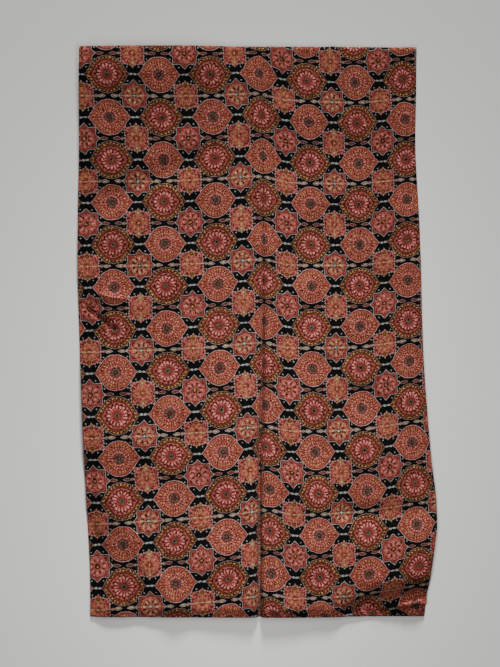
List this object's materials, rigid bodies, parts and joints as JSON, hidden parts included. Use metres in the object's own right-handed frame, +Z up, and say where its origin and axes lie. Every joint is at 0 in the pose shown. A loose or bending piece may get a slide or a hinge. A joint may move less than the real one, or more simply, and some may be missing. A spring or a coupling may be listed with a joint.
{
  "type": "ajrakh cloth",
  "caption": "Block-printed cloth length folded once lengthwise, with a round side fold, a pressed middle crease and cut ends.",
  "frame": {"origin": "on the surface, under the middle of the folded cloth", "axes": "+Z up; +Y along the length, from the end that sags most towards the other; +X across, from the two open edges towards the round fold"},
  "size_m": [0.5906, 0.9518, 0.0196],
  "materials": {
    "printed_cloth": "thin cotton-silk type cloth with a soft sheen, printed in madder red on near-black with pale outlines, olive and orange touches"
  },
  "bodies": {
    "root": {"ajrakh_cloth": "printed_cloth"}
  },
  "joints": []
}
